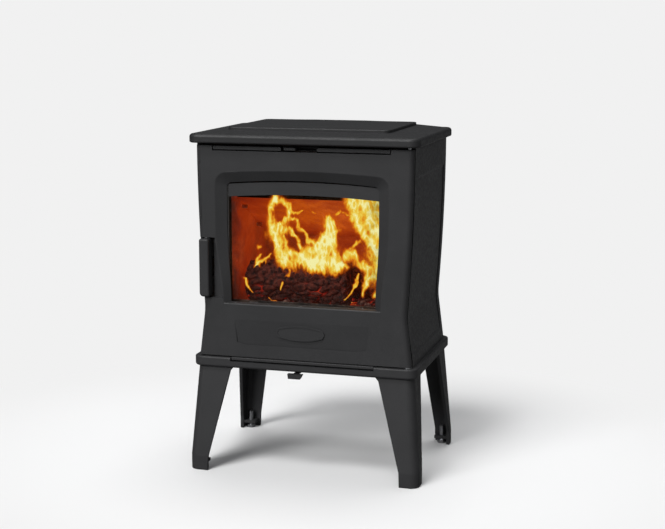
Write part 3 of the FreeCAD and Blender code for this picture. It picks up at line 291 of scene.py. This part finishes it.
def stove_paint(name, tone, grain=1.0, rough=0.52, shine=0.3, settled=0.12):
    """Matt heat-proof paint over sand-cast iron, with rubbed spots and settled dust."""
    paint = new_paint(name)
    cloud = paint.noise(9.0, 3.0)
    colour = paint.mix(cloud.between(0.35, 0.65), shade(tone, 0.93), shade(tone, 1.06))
    colour = paint.mix(paint.noise(900.0, 2.0).between(0.55, 0.78) * 0.35, colour, shade(tone, 1.6))
    rubbed = paint.noise(70.0, 6.0, 0.72).between(0.68, 0.78)
    colour = paint.mix(rubbed * 0.16, colour, shade(tone, 1.8))
    dust = paint.noise(60.0, 5.0, 0.7).between(0.62, 0.8) * paint.up_facing()
    colour = paint.mix(dust * settled, colour, srgb(150, 146, 140))
    normal = paint.bump(paint.noise(240.0, 4.0, 0.6), 0.16 * grain, 0.0008)
    normal = paint.bump(paint.noise(1100.0, 3.0, 0.65), 0.22 * grain, 0.0005, normal)
    worn = paint.noise(160.0, 4.0).between(0.3, 0.7, rough - 0.06, rough + 0.06)
    return paint.finish(Base_Color=colour, Roughness=worn, Normal=normal, Specular_IOR_Level=shine)


def scorched_iron():
    """Bare iron inside the firebox: scale, rust bloom, soot, and ash where it lies flat."""
    paint = new_paint("scorched_iron")
    bloom = paint.noise(22.0, 5.0, 0.65)
    colour = paint.mix(bloom.between(0.42, 0.66), srgb(34, 31, 29), srgb(74, 52, 38))
    soot = paint.noise(48.0, 5.0, 0.7).between(0.4, 0.65)
    colour = paint.mix(soot * 0.7, colour, srgb(18, 17, 17))
    ash = paint.noise(85.0, 6.0, 0.75).between(0.5, 0.68) * paint.up_facing()
    colour = paint.mix(ash * 0.75, colour, srgb(128, 120, 112))
    normal = paint.bump(paint.noise(520.0, 4.0, 0.65), 0.4, 0.0008)
    normal = paint.bump(paint.cells(120.0, "SMOOTH_F1"), 0.15, 0.001, normal)
    rough = paint.noise(60.0, 3.0).between(0.3, 0.7, 0.62, 0.86)
    return paint.finish(Base_Color=colour, Roughness=rough, Normal=normal, Metallic=0.0)


def firebrick():
    """Vermiculite board, sooted, with painted firelight: an orange glow, brightest round the middle of the
    fire, on faces turned towards it.
    """
    paint = new_paint("firebrick")
    flake = paint.cells(420.0)
    tone = paint.mix(flake.between(0.05, 0.55), srgb(74, 52, 34), srgb(104, 78, 52))
    soot = paint.noise(11.0, 6.0, 0.62)
    tone = paint.mix(soot.between(0.36, 0.62) * 0.8, tone, srgb(30, 20, 14))
    # Painted firelight: an orange glow set by distance from the fire and by facing its middle; nothing that
    # shades the board dims it.
    reach = ((paint.along("X") * 0.72) ** 2.0 + (paint.along("Y") + 0.03) ** 2.0
             + ((paint.along("Z") - 0.465) * 0.9) ** 2.0) ** 0.5
    flicker = paint.noise(13.0, 4.0, 0.6, twist=0.8)
    painted_firelight = reach.between(0.05, 0.2, 1.0, 0.12) * 0.75 + flicker.between(0.3, 0.7) * 0.3
    painted_firelight = painted_firelight * flake.between(0.0, 0.7, 0.82, 1.1) * paint.facing(FIRE_MIDDLE)
    glow = paint.ramp(painted_firelight, (0.0, srgb(0, 0, 0)), (0.08, srgb(52, 14, 5)), (0.3, srgb(106, 28, 7)),
                      (0.55, srgb(148, 38, 7)), (0.8, srgb(176, 56, 8)), (1.0, srgb(206, 84, 10)))
    normal = paint.bump(flake, 0.35, 0.0012)
    normal = paint.bump(paint.noise(70.0, 5.0, 0.6), 0.3, 0.002, normal)
    return paint.finish(Base_Color=tone, Roughness=0.92, Normal=normal, Emission_Color=glow,
                        Emission_Strength=0.76, Specular_IOR_Level=0.15)


def rope():
    """Braided glass-fibre cord: crossed plaits with fuzz and soot."""
    paint = new_paint("sealing_rope")
    run = paint.along("X") + paint.along("Z")
    cross = paint.along("X") - paint.along("Z")
    one_way = ((run + paint.along("Y")) * PLAIT_TURNS).sine()
    plait = one_way * ((cross - paint.along("Y")) * PLAIT_TURNS).sine()
    fuzz = paint.noise(1500.0, 3.0, 0.7)
    colour = paint.mix(plait.between(-0.5, 0.6), srgb(22, 22, 23), srgb(64, 63, 62))
    colour = paint.mix(fuzz.between(0.5, 0.8) * 0.4, colour, srgb(110, 108, 104))
    normal = paint.bump(plait, 0.9, 0.0012)
    normal = paint.bump(fuzz, 0.4, 0.0004, normal)
    return paint.finish(Base_Color=colour, Roughness=0.95, Normal=normal)


def steel(name, tone, rough, metal, lie, dirt):
    """Drawn or rolled steel: fine lines one way, tarnish in patches."""
    paint = new_paint(name)
    line = paint.noise(1.0, 3.0, 0.6, paint.stretched(lie))
    patch = paint.noise(40.0, 5.0, 0.65)
    colour = paint.mix(line.between(0.3, 0.7), shade(tone, 0.8), shade(tone, 1.12))
    colour = paint.mix(patch.between(0.48, 0.7) * dirt, colour, srgb(58, 46, 36))
    scuff = paint.noise(300.0, 4.0, 0.7).between(0.6, 0.75)
    normal = paint.bump(line, 0.18, 0.0003)
    normal = paint.bump(scuff, 0.12, 0.0003, normal)
    worn = patch.between(0.3, 0.7, rough - 0.08, rough + 0.15)
    return paint.finish(Base_Color=colour, Roughness=worn, Metallic=metal, Normal=normal)


def pan_sheet():
    """Zinc-coated sheet: spangle, settled ash and patches of rust."""
    paint = new_paint("pan_sheet")
    spangle = paint.cells(150.0, output="Color")
    grey = paint.make("ShaderNodeSeparateColor", inputs={0: spangle})
    colour = paint.mix(grey, srgb(104, 104, 106), srgb(146, 146, 148))
    ash = paint.noise(55.0, 6.0, 0.75).between(0.45, 0.66) * paint.up_facing()
    colour = paint.mix(ash * 0.8, colour, srgb(156, 150, 142))
    rust = paint.noise(24.0, 6.0, 0.7).between(0.6, 0.74)
    colour = paint.mix(rust * 0.5, colour, srgb(96, 58, 34))
    normal = paint.bump(paint.noise(400.0, 4.0, 0.65), 0.2, 0.0005)
    rough = rust.between(0.0, 1.0, 0.42, 0.8)
    return paint.finish(Base_Color=colour, Roughness=rough, Metallic=0.55, Normal=normal)


def glass_finish():
    """Ceramic glass, hazed and sooted in towards its edges."""
    paint = new_paint("ceramic_glass")
    side = paint.along("X").absolute().between(*SOOT_AT_SIDES)
    foot = paint.along("Z").between(*SOOT_AT_FOOT)
    haze = side.most(foot * 0.9)
    cloud = paint.noise(26.0, 6.0, 0.68)
    soot = haze * cloud.between(0.35, 0.65)
    streak = paint.noise(1.0, 4.0, 0.6, paint.stretched((120.0, 20.0, 9.0))).between(0.6, 0.85)
    alpha = soot * 0.4 + streak * 0.05 + 0.035
    return paint.finish(Base_Color=srgb(26, 20, 16), Roughness=0.06, Alpha=alpha)


def burning_wood():
    """Charred bark: deep red-brown plates, embers in the splits, ash on the ridges."""
    paint = new_paint("charred_wood")
    split, height = paint.trait("bark", 0), paint.trait("bark", 1)
    mottle = paint.noise(95.0, 6.0, 0.68)
    colour = paint.mix(mottle.between(0.35, 0.65), srgb(20, 8, 6), srgb(74, 32, 22))
    colour = paint.mix((mottle * height).between(0.36, 0.62) * 0.35, colour, srgb(104, 70, 56))
    ember = (1.0 - split.between(0.0, 0.3)) * paint.noise(38.0, 4.0, 0.6).between(0.47, 0.7)
    low = paint.along("Z").between(0.4, 0.335)
    hot = ember * (low * 0.85 + 0.3)
    # Painted sheen: a dim red glow over the mottled bark plates stands in for firelight on the log; the hot
    # part is the embers' own glow in the splits.
    painted_sheen_and_ember_heat = mottle.between(0.3, 0.75) * 0.16 + hot
    glow = paint.ramp(painted_sheen_and_ember_heat, (0.0, srgb(14, 3, 2)), (0.2, srgb(52, 13, 7)), (0.5, srgb(132, 20, 10)),
                      (0.85, srgb(206, 60, 14)), (1.0, srgb(250, 150, 60)))
    normal = paint.bump(mottle, 0.7, 0.003)
    normal = paint.bump(paint.noise(420.0, 4.0, 0.7), 0.5, 0.001, normal)
    return paint.finish(Base_Color=colour, Roughness=0.9, Normal=normal, Emission_Color=glow,
                        Emission_Strength=0.75, Specular_IOR_Level=0.2)


def ember_bed():
    """Broken embers: ash on the lumps, red heat in the gaps between them."""
    paint = new_paint("ember_bed")
    split, height = paint.trait("bark", 0), paint.trait("bark", 1)
    mottle = paint.noise(150.0, 5.0, 0.7)
    ashy = height.between(0.3, 0.85) * mottle.between(0.4, 0.6)
    colour = paint.mix(ashy, srgb(22, 14, 12), srgb(104, 80, 70))
    patches = paint.noise(30.0, 4.0, 0.6).between(0.35, 0.62)
    hot = (1.0 - split.between(0.0, 0.42)) * patches + mottle * 0.12
    glow = paint.ramp(hot, (0.0, srgb(10, 3, 2)), (0.25, srgb(88, 14, 10)), (0.55, srgb(166, 24, 14)),
                      (0.85, srgb(230, 92, 24)), (1.0, srgb(255, 196, 104)))
    normal = paint.bump(mottle, 0.6, 0.002)
    return paint.finish(Base_Color=colour, Roughness=0.95, Normal=normal, Emission_Color=glow,
                        Emission_Strength=0.8, Specular_IOR_Level=0.15)


def flame_finish():
    """Flame: clear, then deep orange, yellow and near white as it gets hotter."""
    paint = new_paint("flame")
    heat = paint.trait("flow", 0)
    lick = paint.noise(1.0, 4.0, 0.6, paint.stretched((105.0, 60.0, 62.0)), 1.8)
    thread = paint.noise(1.0, 3.0, 0.6, paint.stretched((360.0, 90.0, 170.0)), 1.2)
    heat = heat + (lick - 0.5) * (heat * 0.66 + 0.14) + (thread - 0.5) * (heat * 0.2 + 0.04)
    colour = paint.ramp(heat, (0.1, srgb(160, 50, 5)), (0.25, srgb(204, 86, 8)), (0.4, srgb(226, 130, 24)),
                        (0.54, srgb(236, 178, 46)), (0.68, srgb(242, 212, 82)), (0.88, srgb(250, 244, 170)))
    alpha = heat.between(0.08, 0.5)
    return paint.finish(Base_Color=(0.0, 0.0, 0.0, 1.0), Roughness=1.0, Alpha=alpha, Emission_Color=colour,
                        Emission_Strength=1.0, Specular_IOR_Level=0.0)


FINISHES = {
    "cast_iron": stove_paint("stove_paint", ANTHRACITE),
    # Painted shade: the top plate's paint is a darker copy of the stove paint, darker because the top catches
    # more light from above.
    "top_iron": stove_paint("top_paint_painted_shade", srgb(34, 34, 35), 0.9, 0.52, 0.35, 0.04),
    "leg_iron": stove_paint("leg_paint", ANTHRACITE),
    "inner_iron": scorched_iron(),
    "control_iron": stove_paint("control_paint", srgb(41, 41, 42), 0.6, 0.45, 0.3),
    "glass": glass_finish(),
    "firebrick": firebrick(),
    "rope": rope(),
    "bright_steel": steel("zinc_steel", srgb(186, 187, 190), 0.3, 1.0, (40.0, 40.0, 900.0), 0.25),
    "black_steel": steel("oxide_steel", srgb(46, 45, 46), 0.46, 0.7, (700.0, 90.0, 90.0), 0.3),
    "sheet_steel": pan_sheet(),
}
for entry in frame["record"]["subparts"]:
    mesh = frame["nodes"][entry["node"]].data
    mesh.materials.clear()
    mesh.materials.append(FINISHES[entry["material_slot"]])


# ---------------------------------------------------------------- the fire

LOG_ROWS, LOG_COLUMNS = 190, 150
LOG_END = 0.045
BED_ROWS, BED_COLUMNS = 120, 190
BED_LEFT, BED_WIDTH = -0.152, 0.306
BED_FRONT, BED_DEPTH = -0.112, 0.198
BED_FLOOR, BED_LOWEST = 0.3305, 0.3304
BED_RIM = 0.09
FIREBOX_HALF, FLAME_FOOT = 0.157, 0.338
FLAME_STEP = 0.0011
FAINTEST_FLAME = 0.05
FLAME_DEPTH = {"main": -0.088, "right": -0.092, "front": -0.108}
HALO = {"main": 0.36, "right": 0.42, "front": 0.08}
TONGUES = {
    # for each sheet: radius, heat, line as (x, z)
    "main": [
        (0.0065, 1.00, [(-0.0634, 0.4268), (-0.0718, 0.4511), (-0.0823, 0.4754), (-0.0906, 0.5037),
                        (-0.0926, 0.5323), (-0.086, 0.5509), (-0.0774, 0.5593)]),
        (0.0050, 0.85, [(-0.0775, 0.5573), (-0.0605, 0.5518), (-0.05, 0.54), (-0.0501, 0.5237),
                        (-0.0629, 0.5089), (-0.0757, 0.5002)]),
        (0.0050, 0.95, [(-0.0781, 0.4714), (-0.0779, 0.4899), (-0.063, 0.4987), (-0.046, 0.4912),
                        (-0.0334, 0.4754), (-0.0228, 0.4574)]),
        (0.0040, 0.60, [(-0.0613, 0.4269), (-0.0526, 0.452), (-0.0589, 0.4722), (-0.063, 0.4885)]),
        (0.0032, 0.75, [(-0.0437, 0.5178), (-0.0332, 0.506), (-0.0206, 0.4902), (-0.008, 0.4724),
                        (0.0109, 0.4548)]),
        (0.0095, 1.15, [(0.0151, 0.4264), (0.0193, 0.4511), (0.0298, 0.474), (0.034, 0.4945),
                        (0.0278, 0.5165)]),
        (0.0080, 1.00, [(0.0528, 0.4241), (0.0507, 0.4485), (0.0424, 0.4705), (0.0465, 0.493),
                        (0.0382, 0.5129)]),
        (0.0070, 0.95, [(-0.0145, 0.4271), (-0.0081, 0.4458), (0.0067, 0.4628), (0.0193, 0.4797)]),
        (0.0042, 0.80, [(-0.0484, 0.4481), (-0.0271, 0.4408), (-0.006, 0.4336), (0.0109, 0.4303)]),
        (0.0050, 0.80, [(0.0445, 0.4278), (0.0466, 0.4157), (0.0424, 0.4093)]),
        (0.0070, 0.70, [(-0.0442, 0.4236), (-0.0187, 0.4289), (0.0109, 0.4262), (0.0445, 0.4258),
                        (0.0654, 0.4247)]),
        (0.0026, 0.55, [(-0.0479, 0.5319), (-0.0331, 0.5304), (-0.0204, 0.5349)]),
        (0.0024, 0.45, [(-0.0015, 0.5296), (0.0069, 0.5279)]),
        (0.0026, 0.60, [(0.0507, 0.5295), (0.0631, 0.532), (0.0756, 0.5264)]),
        (0.0028, 0.70, [(0.0757, 0.4577), (0.0881, 0.4704), (0.1025, 0.4812)]),
        (0.0036, 0.65, [(-0.1172, 0.4118), (-0.1171, 0.4305), (-0.1062, 0.4455)]),
        (0.0032, 0.60, [(-0.1168, 0.4574), (-0.1082, 0.4598)]),
        (0.0024, 0.70, [(-0.1347, 0.4006), (-0.1237, 0.4157), (-0.1085, 0.4288), (-0.0912, 0.4379)]),
    ],
    "right": [
        (0.0075, 1.10, [(0.0828, 0.5593), (0.0849, 0.5393), (0.0911, 0.5155), (0.1036, 0.4959),
                        (0.118, 0.4804), (0.1284, 0.4607)]),
        (0.0090, 1.05, [(0.1074, 0.5641), (0.1116, 0.5403), (0.1199, 0.5166), (0.1323, 0.4931)]),
        (0.0090, 0.95, [(0.136, 0.5611), (0.1403, 0.5294), (0.1445, 0.4976), (0.1489, 0.4616)]),
        (0.0075, 0.85, [(0.1284, 0.4607), (0.1347, 0.4368), (0.1307, 0.4123), (0.1205, 0.3915)]),
        (0.0055, 0.80, [(0.1489, 0.4616), (0.1491, 0.4294), (0.1431, 0.3967), (0.133, 0.3678)]),
        (0.0045, 0.75, [(0.112, 0.4357), (0.1162, 0.4157), (0.1122, 0.3911), (0.104, 0.3662)]),
        (0.0065, 0.60, [(0.0831, 0.4465), (0.0955, 0.435), (0.108, 0.4193)]),
        (0.0050, 0.70, [(0.0706, 0.4419), (0.0789, 0.4585), (0.0913, 0.4469)]),
    ],
    "front": [
        (0.0026, 1.10, [(-0.1385, 0.3914), (-0.1343, 0.3792), (-0.1237, 0.3673)]),
        (0.0019, 0.90, [(-0.0443, 0.4126), (-0.0464, 0.4063), (-0.0486, 0.4)]),
        (0.0026, 1.10, [(-0.0529, 0.3875), (-0.0572, 0.379), (-0.0594, 0.3707)]),
        (0.0020, 1.10, [(0.0999, 0.4136), (0.0958, 0.3972), (0.0876, 0.3805), (0.071, 0.3593)]),
        (0.0018, 0.70, [(-0.0894, 0.3587), (-0.0809, 0.3509), (-0.0702, 0.3474)]),
    ],
}


def add_piece(name, points, faces, finish, traits):
    """A piece fixed to the stove's body, with numbers at its points for its finish to read."""
    mesh = bpy.data.meshes.new(name)
    mesh.from_pydata(points, [], faces)
    mesh.materials.append(finish)
    for polygon in mesh.polygons:
        polygon.use_smooth = True
    for trait, values in traits.items():
        layer = mesh.attributes.new(trait, "FLOAT_VECTOR", "POINT")
        layer.data.foreach_set("vector", [number for value in values for number in value])
    mesh.update()
    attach(add_object(name, mesh), "root")


def grid_faces(rows, columns, closed=False):
    """Four-sided faces between neighbouring points, counted row by row."""
    faces = []
    for row in range(rows - 1):
        for column in range(columns if closed else columns - 1):
            beside = (column + 1) % columns
            faces.append((row * columns + column, row * columns + beside,
                          (row + 1) * columns + beside, (row + 1) * columns + column))
    return faces


def splits(where, scale):
    """How far a point is from the nearest split between two plates of bark, and that plate's height."""
    distances, centres = noise.voronoi(where * scale, distance_metric="DISTANCE", exponent=2.5)
    height = noise.cell(centres[0] * 7.3)
    return min(1.0, (distances[1] - distances[0]) * 1.6), height


def add_log(name, start, end, radius, seed):
    """A split log: rough round section, plated bark, ragged ends."""
    start, end = Vector(start), Vector(end)
    run = (end - start).normalized()
    side = run.cross(Vector((0, 0, 1))).normalized()
    over = side.cross(run)
    points, marks = [], []
    for row in range(LOG_ROWS):
        t = row / (LOG_ROWS - 1)
        cap = min(1.0, min(t, 1 - t) / LOG_END)
        centre = start.lerp(end, t) + over * 0.004 * math.sin(t * 5.1 + seed)
        shrink = math.sqrt(1 - (1 - cap) ** 4)
        for column in range(LOG_COLUMNS):
            angle = 2 * math.pi * column / LOG_COLUMNS
            ray = side * math.cos(angle) + over * math.sin(angle)
            sample = Vector((t * 7.0, math.cos(angle) * 1.7 + seed, math.sin(angle) * 1.7))
            gap, height = splits(Vector((sample.x * 0.8, sample.y, sample.z)), 1.7)
            broad = noise.noise(Vector((t * 3.0, math.cos(angle) + seed, math.sin(angle)))) * 0.16
            fine = noise.fractal(sample * 3.1, 1.0, 2.0, 5) * 0.05
            plate = (min(1.0, gap * 2.2) - 0.6) * 0.13 + (height - 0.5) * 0.05
            flat = -0.1 * max(0.0, math.cos(angle * 2 + seed))
            reach = radius * shrink * (1 + broad + fine + plate + flat)
            ragged = run * (noise.noise(sample * 2.3) * 0.006 * (1 - cap))
            points.append(centre + ray * reach + ragged)
            marks.append((gap, min(1.0, height * 0.5 + 0.5 * max(0.0, ray.z)), seed))
    faces = grid_faces(LOG_ROWS, LOG_COLUMNS, closed=True)
    faces.append(tuple(reversed(range(LOG_COLUMNS))))
    last = (LOG_ROWS - 1) * LOG_COLUMNS
    faces.append(tuple(range(last, last + LOG_COLUMNS)))
    add_piece(name, points, faces, WOOD, {"bark": marks})


def add_ember_bed():
    """A shallow bed of broken embers that thins towards its edge."""
    points, marks = [], []
    for row in range(BED_ROWS):
        for column in range(BED_COLUMNS):
            u, v = column / (BED_COLUMNS - 1), row / (BED_ROWS - 1)
            x, y = BED_LEFT + BED_WIDTH * u, BED_FRONT + BED_DEPTH * v
            rim = min(1.0, min(u, 1 - u, v, 1 - v) / BED_RIM)
            gap, height = splits(Vector((x * 52, y * 52, 3.0)), 1.0)
            lump = min(1.0, gap * 1.8)
            wave = 0.006 * noise.noise(Vector((x * 22, y * 22, 0)))
            z = BED_FLOOR + rim * (0.006 + 0.011 * lump * (0.45 + height) + wave)
            points.append((x, y, max(BED_LOWEST, z)))
            marks.append((gap, height * lump, 0.0))
    add_piece("ember_bed", points, grid_faces(BED_ROWS, BED_COLUMNS), EMBERS, {"bark": marks})


def tongue_heat(x, z, radius, line):
    """Heat at a point from one tongue: full along its line, thinner towards the tip."""
    best = 0.0
    runs = len(line) - 1
    for n in range(runs):
        (x0, z0), (x1, z1) = line[n], line[n + 1]
        dx, dz = x1 - x0, z1 - z0
        t = max(0.0, min(1.0, ((x - x0) * dx + (z - z0) * dz) / (dx * dx + dz * dz)))
        size = radius * (1.1 - 0.5 * (n + t) / runs)
        gap = ((x - x0 - dx * t) ** 2 + (z - z0 - dz * t) ** 2) / (size * size)
        best = max(best, math.exp(-gap))
    return best


def sheet_heat(sheet, x, z, seed):
    """Heat of all of a sheet's tongues at a point: warped, with a halo, and torn by veins."""
    wave = Vector((x * 62, seed, z * 40))
    ripple = Vector((x * 190, seed + 4, z * 120))
    warp_x = noise.noise(wave) * 0.0075 + noise.noise(ripple) * 0.0024
    warp_z = noise.noise(wave + Vector((7, 3, 1))) * 0.008 + noise.noise(ripple + Vector((2, 5, 8))) * 0.003
    place = (x + warp_x, z + warp_z)
    heat = 0.0
    for radius, power, line in TONGUES[sheet]:
        heat += power * (0.62 * tongue_heat(*place, radius * 1.15, line)
                         + HALO[sheet] * tongue_heat(*place, radius * 2.5, line))
    vein = 1 - abs(noise.noise(Vector((x * 120, seed + 9, z * 58)))) * 2.4
    return 1.15 * (1 - math.exp(-heat)) * (0.75 + 0.36 * max(0.0, vein))


def add_flames(sheet, seed):
    """All the tongues at one depth as one torn, rippling sheet."""
    corners = [corner for _, _, line in TONGUES[sheet] for corner in line]
    xs, zs = [x for x, z in corners], [z for x, z in corners]
    low_x, high_x = max(-FIREBOX_HALF, min(xs) - 0.028), min(FIREBOX_HALF, max(xs) + 0.028)
    low_z, high_z = max(FLAME_FOOT, min(zs) - 0.02), max(zs) + 0.028
    columns, rows = int((high_x - low_x) / FLAME_STEP), int((high_z - low_z) / FLAME_STEP)
    heats, points = [], []
    for row in range(rows):
        for column in range(columns):
            x, z = low_x + column * FLAME_STEP, low_z + row * FLAME_STEP
            heats.append(sheet_heat(sheet, x, z, seed))
            sway = (0.010 * noise.noise(Vector((x * 18, z * 12, seed)))
                    + 0.004 * noise.noise(Vector((x * 190, seed + 4, z * 120))))
            points.append((x, FLAME_DEPTH[sheet] + sway, z))
    used, faces = {}, []
    for face in grid_faces(rows, columns):
        if max(heats[n] for n in face) > FAINTEST_FLAME:
            faces.append(tuple(used.setdefault(n, len(used)) for n in face))
    kept = sorted(used, key=used.get)
    flow = [(heats[n], 0.0, 0.0) for n in kept]
    add_piece(f"{sheet}_flames", [points[n] for n in kept], faces, FLAME, {"flow": flow})


WOOD = burning_wood()
EMBERS = ember_bed()
FLAME = flame_finish()
add_ember_bed()
add_log("front_log", (-0.146, -0.062, 0.376), (0.070, -0.050, 0.377), 0.044, 1.0)
add_log("back_log", (-0.118, 0.038, 0.370), (0.128, 0.026, 0.372), 0.036, 4.0)
for number, sheet in enumerate(TONGUES):
    add_flames(sheet, 2.7 + number * 3.1)
add_lamp("fire_light", "POINT", (0.03, -0.02, 0.47), 0.35, 0.06, (1.0, 0.42, 0.12))
